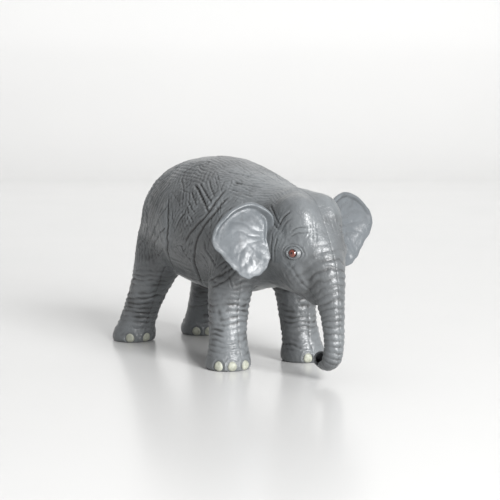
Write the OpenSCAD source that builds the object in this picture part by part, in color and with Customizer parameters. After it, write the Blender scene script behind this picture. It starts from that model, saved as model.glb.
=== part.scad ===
// Elephant coin bank: two side shells glued along the spine and the trunk, an
// underbody glued between the legs, separate ears, tail and eye beads, and a
// pull-out stopper in a collar in the belly.
// +X is forward (the trunk), +Y is the elephant's left, +Z is up.
// The origin is on the floor, midway between the rear soles and the trunk.

/* [Overall size] */
// Length from the rear soles to the front of the trunk
bank_len = 226; // [190:1:262]
// Width of the barrel of the body
body_w = 84; // [78:1:101]
// Height from the soles to the crest of the back
bank_h = 131; // [116:1:158]

/* [Moulding] */
// Wall thickness of the shells
wall = 2.4; // [2:0.1:3]
// Width of the lip of the lap joints
lip_w = 2.8; // [2:0.1:4]
// Gap between pieces that are glued together
glue_gap = 0.15; // [0.1:0.05:0.25]
// How far each leg seam is from the middle, on a bank of body width 84
leg_seam_y = 26.5; // [25:0.5:30]
// Height of the seam over the underbody, on a bank 131 high
belly_seam_z = 57; // [54:1:64]
// Diameter of the posts that line up the side shells
post_d = 6.4; // [5.4:0.1:8]
// Diameter of the pins on those posts
pin_d = 3; // [2:0.1:3.6]

/* [Coin slot] */
// Length of the slot, along the spine
slot_len = 36; // [28:1:44]
// Width of the slot
slot_w = 4.6; // [4.4:0.1:5.6]
// Where the middle of the slot is, along the bank
slot_x = -42; // [-50:1:-30]

/* [Belly stopper] */
// Bore of the collar
port_d = 32; // [26:1:36]
// Thickness of the collar's wall
collar_wall = 2.4; // [1.6:0.1:3]
// Height of the collar
collar_h = 11; // [9:0.5:14]
// Where the collar's axis is, along the bank
port_x = -20; // [-26:1:-15]
// Gap between the stopper and the bore
plug_gap = 0.3; // [0.2:0.05:0.4]
// Thickness of the stopper's wall and rim
plug_wall = 2.2; // [1.6:0.1:3]
// How far the rim stands out past the bore
rim_w = 2.2; // [1.4:0.1:4]

/* [Ears, eyes and feet] */
// Distance between the two ear tips
ear_span = 119; // [100:1:143]
// Height of an ear
ear_h = 46.5; // [40:0.5:55]
// Thickness of an ear at its rim
ear_t = 3.4; // [2.6:0.1:4]
// Length of the tenon that holds an ear
tenon_len = 5; // [4:0.1:6.5]
// Diameter of an eye bead
eye_d = 6.6; // [5.4:0.1:8]
// Width of a toenail
nail_w = 5.6; // [4.4:0.1:6.8]

/* [Hidden] */

skin_grey = [0.37, 0.40, 0.43];
eye_brown = [0.45, 0.16, 0.07];
stopper_black = [0.13, 0.13, 0.14];

big = 500;       // larger than the bank in every direction
trunk_n = 20;    // points round the trunk, the jaw, a leg and the tail
barrel_n = 30;   // points round the barrel and the head
dome_fn = 20;
bore_fn = 72;

// The form is drawn at this size, and stretched to the overall sizes.
drawn = [226, 84, 131];
stretch = [bank_len / drawn[0], body_w / drawn[1], bank_h / drawn[2]];
function fit(p) = [for (i = [0:2]) p[i] * stretch[i]];
seam_y = leg_seam_y * stretch[1];
seam_z = belly_seam_z * stretch[2];

// ---- stations of the form: [x, y, z, half height or length, half width] ----

// Barrel, from the rump to the neck: upright sections
barrel = [
    [-102, 0, 80, 5, 5],         [-100, 0, 80.5, 14, 12],   [-94, 0, 82, 25, 21.5],
    [-81, 0, 84.5, 34, 30],      [-62, 0, 86.5, 39.3, 36.6], [-38, 0, 86.8, 43.2, 40.6],
    [-14, 0, 86, 44.7, 42],      [8, 0, 85.2, 41.4, 40],    [27, 0, 85, 36.8, 36.5],
    [44, 0, 84.3, 33.3, 32],     [58, 0, 84.8, 30.3, 26],   [68, 0, 86, 26.5, 20]];

// Head, from the neck to the brow: upright sections
head = [
    [48, 0, 84, 26, 22],      [58, 0, 85.5, 30, 24],    [69, 0, 84.5, 31, 24],
    [80, 0, 82, 29, 22.6],    [89, 0, 78.5, 24.5, 19],  [96, 0, 76, 19, 15.5],
    [101, 0, 74, 12, 10.5],   [103, 0, 73.5, 4, 4]];

// Trunk, from the forehead down to the tip: sections across its line
trunk = [
    [68, 0, 93, 17, 14],      [76, 0, 86, 21, 18],      [86, 0, 75.5, 19.5, 16.5],
    [95.5, 0, 64.5, 14.6, 12.8], [101, 0, 54, 10.7, 9.4], [103.8, 0, 44, 8.6, 7.6],
    [105.6, 0, 33, 7.1, 6.6], [106.2, 0, 23, 6.4, 6],   [104.6, 0, 15.5, 6.2, 5.8],
    [100, 0, 11.8, 5.6, 5.5], [94.6, 0, 12, 5, 5.2],    [89.2, 0, 14.4, 4.9, 5]];

// Lower jaw, from the throat to the lip
jaw = [
    [58, 0, 66, 15, 17],      [69, 0, 61.5, 12, 14.5],  [79, 0, 56, 8.6, 10],
    [85.4, 0, 50, 5, 6],      [88.6, 0, 44.8, 2.2, 2.4]];

// Right legs, from the sole up into the barrel: level sections
front_leg = [
    [30.2, -28.4, 0, 13.8, 13.8], [30.2, -28.4, 2, 14.6, 14.6], [30, -28.2, 6, 14.4, 14.4],
    [29.6, -27.8, 12, 13, 13],    [28, -27.2, 20, 12.1, 12.2], [26.8, -26.3, 30, 12.3, 12.5],
    [26.3, -25.4, 41, 13.2, 13.2], [27, -24.2, 53, 15.8, 14.4], [28.5, -22.5, 66, 18, 14.6],
    [28, -19.5, 82, 18, 13],      [26, -17, 96, 13, 9]];
rear_leg = [
    [-98.2, -27.4, 0, 14, 14],    [-98.2, -27.4, 2, 14.9, 14.9], [-97.7, -27.2, 6, 14.7, 14.7],
    [-94.6, -26.6, 13, 13, 13],   [-89.4, -25.8, 22, 12.6, 12.8], [-83.6, -25, 32, 13.2, 13.4],
    [-77.8, -23.6, 42, 15, 14.4], [-74, -22, 52, 18.3, 15.4],    [-71.5, -19.5, 66, 22, 16.2],
    [-70, -16.5, 82, 23, 15.8],   [-68, -14, 98, 17, 12]];

// Forehead, cheek and brow over the left eye: [centre, half sizes]
forehead = [[77, 8.5, 96], [18.5, 12.5, 17.5]];
cheek = [[83, 10.5, 67.5], [14, 10, 15.5]];
brow = [[85.5, 11, 77.4], [9.5, 8.6, 9.5]];

// ---- lofts ----

// Smooth curve through rows of numbers, with n steps between neighbours
function blend(a, b, c, d, t) =
    0.5 * (2 * b + (c - a) * t + (2 * a - 5 * b + 4 * c - d) * t * t
           + (3 * b - a - 3 * c + d) * t * t * t);
function through(rows, n) = [
    for (i = [0:len(rows) - 2], k = [0:n - 1])
        blend(rows[max(i - 1, 0)], rows[i], rows[i + 1], rows[min(i + 2, len(rows) - 1)], k / n),
    rows[len(rows) - 1]];
function round_through(rows, n) = let (m = len(rows)) [
    for (i = [0:m - 1], k = [0:n - 1])
        blend(rows[(i + m - 1) % m], rows[i], rows[(i + 1) % m], rows[(i + 2) % m], k / n)];

// Angle of a line of stations at station i, in the XZ plane; 0 is forward
function heading(rows, i) =
    let (a = rows[max(i - 1, 0)], b = rows[min(i + 1, len(rows) - 1)])
    atan2(b[2] - a[2], b[0] - a[0]);

// Sections with n points each: upright, level, or across the stations' line
function upright(rows, n) = [for (r = rows) section(r, 0, n)];
function level(rows, n) = [for (r = rows) section(r, 90, n)];
function across(rows, n) = [for (i = [0:len(rows) - 1]) section(rows[i], heading(rows, i), n)];
function section(r, tilt, n) = [
    for (k = [0:n - 1])
        let (a = 360 * k / n, u = r[3] * cos(a), v = r[4] * sin(a))
        fit([r[0] - u * sin(tilt), r[1] + v, r[2] + u * cos(tilt)])];

// A loft's points moved in by t, square to its surface
function inset(rings, t) = t == 0 ? rings :
    let (m = len(rings), n = len(rings[0]))
    [for (i = [0:m - 1]) [for (k = [0:n - 1])
        let (along = rings[min(i + 1, m - 1)][k] - rings[max(i - 1, 0)][k],
             about = rings[i][(k + 1) % n] - rings[i][(k + n - 1) % n],
             out = cross(along, about))
        rings[i][k] - t * out / norm(out)]];

module loft(rings) {
    m = len(rings);
    n = len(rings[0]);
    polyhedron(
        points = [for (r = rings) each r],
        faces = [
            [for (k = [n - 1:-1:0]) k],
            [for (k = [0:n - 1]) (m - 1) * n + k],
            for (i = [0:m - 2], k = [0:n - 1])
                let (a = i * n + k, b = i * n + (k + 1) % n)
                each [[a, b, a + n], [b, b + n, a + n]]],
        convexity = 6);
}

module ball(b, t) {
    translate(fit(b[0])) scale([for (i = [0:2]) b[1][i] * stretch[i] - t])
        sphere(1, $fn = dome_fn);
}

module on_both_sides() {
    children();
    mirror([0, 1, 0]) children();
}

// ---- the whole form, its surface moved in by t ----
module form(t = 0) {
    steps = t > 0 ? 1 : 2;
    loft(inset(upright(through(barrel, steps), barrel_n), t));
    loft(inset(upright(through(head, steps), barrel_n), t));
    loft(inset(across(through(trunk, steps), trunk_n), t));
    loft(inset(across(through(jaw, 1), trunk_n), t));
    on_both_sides() {
        loft(inset(level(through(front_leg, 1), trunk_n), t));
        loft(inset(level(through(rear_leg, 1), trunk_n), t));
        ball(forehead, t);
        ball(cheek, t);
        ball(brow, t);
    }
}

// ---- shared places ----

slot_top = bank_h + big / 10;
slot_floor = 0.75 * bank_h;      // well inside the chamber, under the crest

// Where a half line from inside a ball meets its surface, as drawn
function on_ball(b, n) =
    let (r = sqrt(pow(n[0] / b[1][0], 2) + pow(n[1] / b[1][1], 2) + pow(n[2] / b[1][2], 2)))
    b[0] + n / r;

// The coin slot, with round ends
module slot_cut() {
    translate([slot_x, 0, slot_floor])
        linear_extrude(slot_top - slot_floor)
            for (s = [-1, 1]) {
                translate([s * (slot_len - slot_w) / 2, 0]) circle(d = slot_w, $fn = 32);
                square([slot_len - slot_w, slot_w], center = true);
            }
}

// The space that the underbody fills, grown by g: between the leg seams and
// under the belly seam, clear of the jaw and the trunk
chest_x = 60 * stretch[0];
module underbody_space(g = 0) {
    translate([-big, -seam_y - g, -big])
        cube([big + chest_x + g, 2 * (seam_y + g), big + seam_z + g]);
}

module right_half(g = 0) { translate([-big, g - big, -big]) cube([2 * big, big, 2 * big]); }

// The hollow: the form moved in by t, over the soles and above the solid end
// of the trunk
solid_end = fit([90, 0, 36]);    // the trunk is solid ahead of this and below it
module hollow(t = wall) {
    difference() {
        form(t);
        translate([-big, -big, -big]) cube([2 * big, 2 * big, big + t]);
        translate([solid_end[0], -big, -big]) cube([big, 2 * big, big + solid_end[2]]);
    }
}

// The lip of a lap joint takes the inner half of the wall
lip_t = wall / 2 + glue_gap / 2;
rebate_t = wall / 2 - glue_gap / 2;

// Posts inside the side shells, clear of the coins: [x, z] as drawn
posts = [[-86, 84], [84, 88], [92, 66]];
module at_posts() {
    for (p = posts) translate([p[0] * stretch[0], 0, p[1] * stretch[2]]) children();
}
pin_len = 3.2;
module post(bore) {
    rotate([90, 0, 0]) difference() {
        cylinder(h = body_w / 2, d = post_d, $fn = 24);
        if (bore > 0) translate([0, 0, -1]) cylinder(h = pin_len + 2, d = bore, $fn = 24);
    }
}

// ---- feet ----

nail_z = 3.4;        // height of the middle of a nail, as drawn
nail_h = 3;          // half its height
nail_bulk = 1.9;     // half its thickness, most of it inside the foot
nail_sink = 0.9;

// Toenails of one right foot: raised ovals round the front of the sole, at
// these turns from straight ahead
module toenails(leg, turns) {
    sole = leg[0];
    for (a = turns)
        translate(fit([sole[0], sole[1], nail_z]))
            rotate([0, 0, a])
                translate([sole[3] * stretch[0] - nail_sink, 0, 0])
                    scale([nail_bulk, nail_w / 2, nail_h * stretch[2]]) sphere(1, $fn = 12);
}

module all_toenails() {
    on_both_sides() {
        toenails(front_leg, [-57, -20, 20]);
        toenails(rear_leg, [-38, 10, 45]);
    }
}

// ---- side shells ----

// The trunk ends in a hollow that points back
module at_trunk_end() { translate(fit([92, 0, 13.6])) rotate([0, 12, 0]) children(); }
module nostrils() {
    at_trunk_end() scale([6.5, 3.7, 3.5]) sphere(1, $fn = 24);
}

// Right half of the outside, hollowed, with the joint to the underbody rebated
module half_skin() {
    difference() {
        intersection() {
            difference() {
                union() {
                    form();
                    all_toenails();
                }
                translate([-big, -big, -big]) cube([2 * big, 2 * big, big]);
                hollow();
            }
            right_half();
        }
        underbody_space();
        intersection() {
            form(rebate_t);
            underbody_space(lip_w + glue_gap);
            translate([-big, -big, wall + lip_w]) cube(2 * big);
        }
        slot_cut();
        nostrils();
    }
}

// On the right that hollow has no side wall
module nostril_side() {
    at_trunk_end() translate([-1, -4.2, 0.6]) scale([5.4, 3.6, 4.2]) sphere(1, $fn = 20);
}

module shell_cuts() {
    ear_place() ear_tenon(glue_gap);
    eye_place() eye_stem(glue_gap);
    tail_peg(glue_gap);
}

module right_shell() {
    color(skin_grey) resize([0, 0, 0]) difference() {
        union() {
            half_skin();
            intersection() {
                form(wall / 2);
                at_posts() post(0);
            }
            at_posts() rotate([-90, 0, 0]) translate([0, 0, -1])
                cylinder(h = pin_len + 1, d = pin_d, $fn = 24);
        }
        intersection() {
            form(rebate_t);
            translate([-big, -lip_w - glue_gap, seam_z + lip_w]) cube(2 * big);
            clear_of_posts();
        }
        shell_cuts();
        nostril_side();
    }
}

// Everywhere but round the posts, where the halves meet face to face
module clear_of_posts() {
    difference() {
        cube(2 * big, center = true);
        at_posts() rotate([90, 0, 0]) cylinder(h = big, d = post_d + 2 * lip_w, center = true, $fn = 24);
    }
}

module left_shell() {
    color(skin_grey) resize([0, 0, 0]) mirror([0, 1, 0]) difference() {
        union() {
            half_skin();
            intersection() {
                form(wall / 2);
                at_posts() post(pin_d + 2 * glue_gap);
            }
            difference() {
                intersection() {
                    form(lip_t);
                    translate([-big, -lip_w, seam_z + 2 * lip_w]) cube([2 * big, 2 * lip_w, big]);
                    clear_of_posts();
                }
                hollow();
                slot_cut();
                tail_peg(glue_gap + lip_w);
            }
        }
        shell_cuts();
    }
}

// ---- underbody: belly pan and the inner halves of the legs ----
boss_t = 2;              // wall of the moulded cup that holds the collar
boss_h = 8;
rim_gap = 0.8;           // between the stopper's rim and that cup
recess = 5.5;            // how far the collar is up inside the belly
collar_od = port_d + 2 * collar_wall;
cup_d = max(port_d + 2 * (rim_w + rim_gap), collar_od + 2 * glue_gap);
deepest = barrel[6];     // the station where the belly hangs lowest
belly_low = (deepest[2] - deepest[3]) * stretch[2];
collar_foot = belly_low + recess;

module at_port(z) { translate([port_x, 0, z]) children(); }

module underbody() {
    color(skin_grey) resize([0, 0, 0]) difference() {
        union() {
            intersection() {
                difference() {
                    union() {
                        form();
                        all_toenails();
                    }
                    hollow();
                }
                underbody_space(-glue_gap);
            }
            intersection() {
                difference() {
                    form(lip_t);
                    hollow();
                }
                underbody_space(lip_w);
                translate([-big, -big, wall + 2 * lip_w]) cube(2 * big);
            }
            intersection() {
                form();
                at_port(0) cylinder(h = collar_foot + boss_h, d = cup_d + 2 * boss_t, $fn = bore_fn);
            }
        }
        at_port(0) cylinder(h = bank_h / 2, d = collar_od + 2 * glue_gap, $fn = bore_fn);
        at_port(0) cylinder(h = collar_foot, d = cup_d, $fn = bore_fn);
        translate([-big, -big, -big]) cube([2 * big, 2 * big, big]);
    }
}

// ---- stopper ----
module stopper_collar() {
    lead = 0.8;          // the mouth of the bore is eased
    color(skin_grey) at_port(collar_foot) rotate_extrude($fn = bore_fn)
        polygon([[port_d / 2 + lead, 0], [collar_od / 2, 0], [collar_od / 2, collar_h],
                 [port_d / 2, collar_h], [port_d / 2, lead]]);
}

// A soft cup that plugs the collar: a rim below, a hollow above, and a
// finger recess on each side of a grip bar underneath
module coin_stopper() {
    plug_r = port_d / 2 - plug_gap;
    rim_r = port_d / 2 + rim_w;
    ease = 1;
    grip_w = 3;
    color(stopper_black) at_port(collar_foot) difference() {
        rotate_extrude($fn = bore_fn) polygon([
            [0, -plug_gap - plug_wall], [rim_r - ease, -plug_gap - plug_wall],
            [rim_r, -plug_gap - plug_wall + ease], [rim_r, -plug_gap], [plug_r, -plug_gap],
            [plug_r, collar_h - ease], [plug_r - ease, collar_h], [plug_r - plug_wall, collar_h],
            [plug_r - plug_wall, collar_h / 2 + plug_wall], [0, collar_h / 2 + plug_wall]]);
        for (s = [-1, 1]) intersection() {
            translate([0, 0, -plug_gap - plug_wall - 1])
                cylinder(h = collar_h / 2 + plug_gap + plug_wall + 1, r = plug_r - plug_wall, $fn = bore_fn);
            translate([-big / 2, s > 0 ? grip_w / 2 : -grip_w / 2 - big, -big / 2]) cube(big);
        }
    }
}

// ---- ears ----
// Outline of a right ear as drawn, seen from the front: [out from the middle, z]
ear_line = [[21, 100], [28.5, 106.3], [37, 108.2], [46.5, 105], [54, 99], [59, 91.5],
            [59.2, 83], [55, 76.5], [48, 70], [42.5, 64.2], [35.5, 61.7], [28.5, 64],
            [23.5, 70], [21, 79], [20.5, 90]];
ear_mid = [38, 86];
left_ear_cock = 5;    // the left ear is glued on a little higher
ear_root_out = 21;
ear_drawn = [119 / 2 - ear_root_out, 108.2 - 61.7];
ear_root = [70 * stretch[0], ear_root_out * stretch[1], 88 * stretch[2]];
ear_size = [(ear_span / 2 - ear_root[1]) / ear_drawn[0], ear_h / ear_drawn[1]];

// The blade's sections run from the middle of its hollow front face out over
// the rim and back to the middle of its bulging back: [share of the outline, depth]
module ear_blade() {
    sweep = 0.19;        // how far the blade leans back for each unit outwards
    dish = 4.2;
    rim = round_through(ear_line, 3);
    rows = [[0.15, 0.5], [0.4, 0.5], [0.65, 0.5], [0.86, 0.55], [0.97, 0.4]];
    walk = concat(rows, [[1, 0]], [for (i = [len(rows) - 1:-1:0]) [rows[i][0], -rows[i][1]]]);
    loft([for (w = walk) [for (k = [0:len(rim) - 1])
        let (p = ear_mid + w[0] * (rim[k] - ear_mid),
             out = (p[0] - ear_root_out) * ear_size[0],
             up = (p[1] - 85) * ear_size[1],
             bowl = -dish * pow(1 - w[0] * w[0], 1.3))
        [bowl - sweep * out + w[1] * ear_t, -out, up]]]);
}

// The tenon is a tongue on the ear's inner edge, grown by g
module ear_tenon(g) {
    tenon_h = 12;
    tenon_t = 2.4;
    translate([-2 - g, -tenon_len - g, -tenon_h / 2 - g])
        cube([tenon_t + 2 * g, 2 * tenon_len + 2 * g, tenon_h + 2 * g]);
}
module ear_place() { translate([ear_root[0], -ear_root[1], ear_root[2]]) children(); }

// An ear turned up by cock about its tenon and raised by lift
module ear(cock, lift) {
    color(skin_grey) resize([0, 0, 0]) {
        difference() {
            ear_place() translate([0, 0, lift]) rotate([-cock, 0, 0]) ear_blade();
            form(-glue_gap);
        }
        ear_place() ear_tenon(0);
    }
}
module right_ear() { ear(0, -3); }
module left_ear() { mirror([0, 1, 0]) ear(left_ear_cock, -1); }

// ---- tail ----
tail_line = [
    [-97, 0, 103, 4.4, 4.4],     [-102, 0, 97, 4.2, 4.2],    [-105, 0, 88, 3.6, 3.6],
    [-106.2, 0, 78, 3, 3],       [-106.6, 0, 67, 2.6, 2.6],  [-106.6, 0, 57, 2.5, 2.5],
    [-106.6, 0, 51, 3.3, 3],     [-106.4, 0, 45, 3.4, 3],    [-106, 0, 38, 1.3, 1.2]];
module tail_peg(g) {
    peg_d = 4.4;
    translate(fit([-101, 0, 98.5])) rotate([0, 60, 0]) translate([0, 0, -2])
        cylinder(h = 12 + g, d = peg_d + 2 * g, $fn = 24);
}
module tail() {
    color(skin_grey) resize([0, 0, 0]) {
        difference() {
            loft(across(through(tail_line, 2), 14));
            form(-glue_gap);
        }
        tail_peg(0);
    }
}

// ---- eyes ----
eye_out = [0.42, -0.9, 0.1];     // the way the right eye looks
module eye_place() {
    b = [[brow[0][0], -brow[0][1], brow[0][2]], brow[1]];
    translate(fit(on_ball(b, eye_out)))
        rotate([0, acos(eye_out[2] / norm(eye_out)), atan2(eye_out[1], eye_out[0])]) children();
}
stem_d = 2.4;
stem_len = 3.4;
eye_seat = 0.9;      // how deep the bead sits in the skin
module eye_stem(g) {
    translate([0, 0, -eye_seat - g]) cylinder(h = 4, d = eye_d + 2 * g, $fn = 48);
    translate([0, 0, -eye_seat - stem_len - g]) cylinder(h = stem_len + 4, d = stem_d + 2 * g, $fn = 32);
}
// A domed bead on a stem
module right_eye() {
    dome_h = 2.6;
    r = eye_d / 2;
    ball_r = (r * r + dome_h * dome_h) / (2 * dome_h);
    half = asin(r / ball_r);
    color(eye_brown) eye_place() rotate_extrude($fn = 48) polygon(concat(
        [[0, -eye_seat - stem_len], [stem_d / 2, -eye_seat - stem_len], [stem_d / 2, -eye_seat]],
        [for (i = [0:8]) let (a = half * (1 - i / 8))
            [ball_r * sin(a), ball_r * cos(a) - ball_r + dome_h - eye_seat]]));
}
module left_eye() { mirror([0, 1, 0]) right_eye(); }

right_shell();
left_shell();
underbody();
right_ear();
left_ear();
tail();
right_eye();
left_eye();
stopper_collar();
coin_stopper();
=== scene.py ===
"""Elephant coin bank: the look of the moulded shells, ears, tail, eyes, nails and stopper.

Lengths in the making of the shapes are in millimetres; Blender's objects are in metres.
"""

import math

import bpy
import numpy as np
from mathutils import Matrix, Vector
from mathutils.bvhtree import BVHTree
from mathutils.kdtree import KDTree


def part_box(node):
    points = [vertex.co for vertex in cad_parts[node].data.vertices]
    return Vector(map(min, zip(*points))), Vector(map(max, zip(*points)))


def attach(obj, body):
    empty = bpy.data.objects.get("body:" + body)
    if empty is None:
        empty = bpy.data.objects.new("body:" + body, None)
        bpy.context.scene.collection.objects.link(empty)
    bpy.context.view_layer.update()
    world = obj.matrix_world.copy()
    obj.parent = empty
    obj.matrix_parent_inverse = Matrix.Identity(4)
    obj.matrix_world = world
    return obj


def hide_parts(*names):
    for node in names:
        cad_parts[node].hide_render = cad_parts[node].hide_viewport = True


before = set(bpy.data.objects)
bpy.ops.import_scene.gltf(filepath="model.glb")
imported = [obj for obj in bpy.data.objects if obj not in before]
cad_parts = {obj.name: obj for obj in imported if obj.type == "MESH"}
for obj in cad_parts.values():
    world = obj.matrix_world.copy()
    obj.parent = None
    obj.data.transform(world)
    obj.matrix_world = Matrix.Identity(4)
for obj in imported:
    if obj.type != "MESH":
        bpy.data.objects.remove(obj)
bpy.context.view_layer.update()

MM = 0.001
SKIN_STEP = 1.33     # size of a quad of the skin before it is divided
CAVITY_STEP = 2.6                      # size of a quad of the inside
NOSTRIL_STEP = 0.4                     # size of a quad of the hollow in the trunk
WALL = 2.4                             # thickness of the shells
FAR = 200.0                            # beyond the animal in every direction
BODY_Z, BODY_R = 86.0, 42.0            # height of the barrel's middle, and its radius there

# ---- stations of the form: [x, y, z, half height or length, half width] ----
BARREL = [
    [-102, 0, 80, 5, 5], [-100, 0, 80.5, 14, 12], [-94, 0, 82, 25, 21.5],
    [-81, 0, 84.5, 34, 30], [-62, 0, 86.5, 39.3, 36.6], [-38, 0, 86.8, 43.2, 40.6],
    [-14, 0, 86, 44.7, 42], [8, 0, 85.2, 41.4, 40], [27, 0, 85, 36.8, 36.5],
    [44, 0, 84.3, 33.3, 32], [58, 0, 84.8, 30.3, 26], [68, 0, 86, 26.5, 20]]
HEAD = [
    [48, 0, 84, 26, 22], [58, 0, 85.5, 30, 24], [69, 0, 84.5, 31, 24],
    [80, 0, 82, 29, 22.6], [89, 0, 78.5, 24.5, 19], [96, 0, 76, 19, 15.5],
    [101, 0, 74, 12, 10.5], [103, 0, 73.5, 4, 4]]
TRUNK = [
    [68, 0, 93, 17, 14], [76, 0, 86, 21, 18], [86, 0, 75.5, 19.5, 16.5],
    [95.5, 0, 64.5, 14.6, 12.8], [101, 0, 54, 10.7, 9.4], [103.8, 0, 44, 8.6, 7.6],
    [105.6, 0, 33, 7.1, 6.6], [106.2, 0, 23, 6.4, 6], [104.6, 0, 15.5, 6.2, 5.8],
    [100, 0, 11.8, 5.6, 5.5], [94.6, 0, 12, 5, 5.2], [89.2, 0, 14.4, 4.9, 5]]
JAW = [
    [58, 0, 66, 15, 17], [69, 0, 61.5, 12, 14.5], [79, 0, 56, 8.6, 10],
    [85.4, 0, 50, 5, 6], [88.6, 0, 44.8, 2.2, 2.4]]
FRONT_LEG = [
    [30.2, -28.4, 0, 13.8, 13.8], [30.2, -28.4, 2, 14.6, 14.6], [30, -28.2, 6, 14.4, 14.4],
    [29.6, -27.8, 12, 13, 13], [28, -27.2, 20, 12.1, 12.2], [26.8, -26.3, 30, 12.3, 12.5],
    [26.3, -25.4, 41, 13.2, 13.2], [27, -24.2, 53, 15.8, 14.4], [28.5, -22.5, 66, 18, 14.6],
    [28, -19.5, 82, 18, 13], [26, -17, 96, 13, 9]]
REAR_LEG = [
    [-98.2, -27.4, 0, 14, 14], [-98.2, -27.4, 2, 14.9, 14.9], [-97.7, -27.2, 6, 14.7, 14.7],
    [-94.6, -26.6, 13, 13, 13], [-89.4, -25.8, 22, 12.6, 12.8], [-83.6, -25, 32, 13.2, 13.4],
    [-77.8, -23.6, 42, 15, 14.4], [-74, -22, 52, 18.3, 15.4], [-71.5, -19.5, 66, 22, 16.2],
    [-70, -16.5, 82, 23, 15.8], [-68, -14, 98, 17, 12]]
TAIL = [
    [-97, 0, 103, 4.4, 4.4], [-102, 0, 97, 4.2, 4.2], [-105, 0, 88, 3.6, 3.6],
    [-106.2, 0, 78, 3, 3], [-106.6, 0, 67, 2.6, 2.6], [-106.6, 0, 57, 2.5, 2.5],
    [-106.6, 0, 51, 3.3, 3], [-106.4, 0, 45, 3.4, 3], [-106, 0, 38, 1.3, 1.2]]
BALLS = [                                # [centre, half sizes] on the left side
    [[77, 8.5, 96], [18.5, 12.5, 17.5]], [[83, 10.5, 67.5], [14, 10, 15.5]],
    [[85.5, 11, 77.4], [9.5, 8.6, 9.5]]]

# ---- seams, slot, port and the hollow in the trunk ----
LEG_SEAM_Y = 26.5
BELLY_SEAM_Z = 57.0
CHEST_X = 60.0                         # the underbody ends here
SEAM_GAP = 0.06                        # between pieces that are glued together
SLOT_X, SLOT_LEN, SLOT_W, SLOT_FLOOR = -42.0, 36.0, 4.6, 98.0
PORT_X, CUP_R, PORT_R, CUP_TOP = -20.0, 19.0, 18.55, 46.9
CUP_WALL_FROM, PORT_TOP = 30.0, 65.0
TRUNK_SOLID_X, TRUNK_SOLID_Z = 84.0, 36.0
TRUNK_END, TRUNK_END_TILT = [94, 0, 12.6], 12.0
NOSTRIL = [                            # [centre, half sizes] from the end of the trunk
    [[0, 0, 0], [4.6, 3.7, 3.5]], [[-0.2, -4.2, 1], [4.2, 3.6, 4.2]],
    [[2.8, -3.8, 3.2], [4, 3.4, 3]], [[-0.6, -2.0, 5.0], [1.1, 2.6, 2.0]],
    [[2.6, -2.2, 4.6], [0.9, 2.4, 1.8]]]


def table(rows):
    return np.array(rows, float)


def unit(v):
    v = np.asarray(v, float)
    return v / np.maximum(np.linalg.norm(v, axis=-1, keepdims=True), 1e-9)


def ramp(v, low, high):
    """0 below low, 1 above high, and smooth between them."""
    t = np.clip((v - low) / (high - low), 0, 1)
    return t * t * (3 - 2 * t)


def hill(d, width):
    return np.exp(-(d / width) ** 2)


# ---- curves and lofts ----
def through(rows, steps, closed=False):
    """A smooth curve through rows of numbers, with this many steps between neighbours."""
    rows = table(rows)
    n = len(rows)
    out = []
    for i in range(n if closed else n - 1):
        if closed:
            a, b, c, d = (rows[(i + k) % n] for k in (-1, 0, 1, 2))
        else:
            a, b, c, d = rows[max(i - 1, 0)], rows[i], rows[i + 1], rows[min(i + 2, n - 1)]
        for t in np.arange(steps) / steps:
            out.append(0.5 * (2 * b + (c - a) * t + (2 * a - 5 * b + 4 * c - d) * t * t
                              + (3 * b - a - 3 * c + d) * t ** 3))
    if not closed:
        out.append(rows[-1])
    return np.array(out)


def sections(rows, tilt, count):
    """Rings of points round each station. Tilt 0 is upright, 90 is level, None follows the line."""
    turn = np.linspace(0, 2 * np.pi, count, endpoint=False)
    rings = []
    for i, (x, y, z, high, wide) in enumerate(rows):
        lean = tilt
        if tilt is None:
            a, b = rows[max(i - 1, 0)], rows[min(i + 1, len(rows) - 1)]
            lean = math.degrees(math.atan2(b[2] - a[2], b[0] - a[0]))
        lean = math.radians(lean)
        up = high * np.cos(turn)
        rings.append(np.stack([x - up * math.sin(lean), y + wide * np.sin(turn),
                               z + up * math.cos(lean)], axis=1))
    return np.array(rings)


def inset(rings, t):
    """Rings moved in by t, square to the loft's surface."""
    along = np.concatenate([rings[1:2] - rings[:1], rings[2:] - rings[:-2], rings[-1:] - rings[-2:-1]])
    about = np.roll(rings, -1, axis=1) - np.roll(rings, 1, axis=1)
    return rings - t * unit(np.cross(along, about))


def loft(rings):
    """A closed skin through rings of points, as (points, faces)."""
    m, n = rings.shape[:2]
    faces = [tuple(range(n - 1, -1, -1)), tuple(range((m - 1) * n, m * n))]
    for i in range(m - 1):
        for k in range(n):
            a, b = i * n + k, i * n + (k + 1) % n
            faces.append((a, b, b + n, a + n))
    return rings.reshape(-1, 3), faces


def mirrored(solid):
    points, faces = solid
    return points * [1, -1, 1], [tuple(reversed(f)) for f in faces]


def ball(centre, half, rows=20):
    """A closed ellipsoid with its poles along Z."""
    tall = np.linspace(0.04, 0.96, rows) * np.pi
    rings = [sections([[0, 0, -math.cos(a), math.sin(a), math.sin(a)]], 90, 2 * rows)[0] for a in tall]
    points, faces = loft(np.array(rings))
    return points * half + centre, faces


def prism(outline, low, high):
    """An upright prism with that outline, as [x, y] points."""
    rings = [[[x, y, z] for x, y in outline] for z in (low, high)]
    return loft(np.array(rings, float))


def circle(x, y, r):
    turn = np.linspace(0, 2 * np.pi, 96, endpoint=False)
    return np.stack([x + r * np.cos(turn), y + r * np.sin(turn)], axis=1)


def block(low, high):
    """A box between two corners."""
    x0, y0, z0 = low
    x1, y1, z1 = high
    return prism([[x0, y0], [x1, y0], [x1, y1], [x0, y1]], z0, z1)


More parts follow.
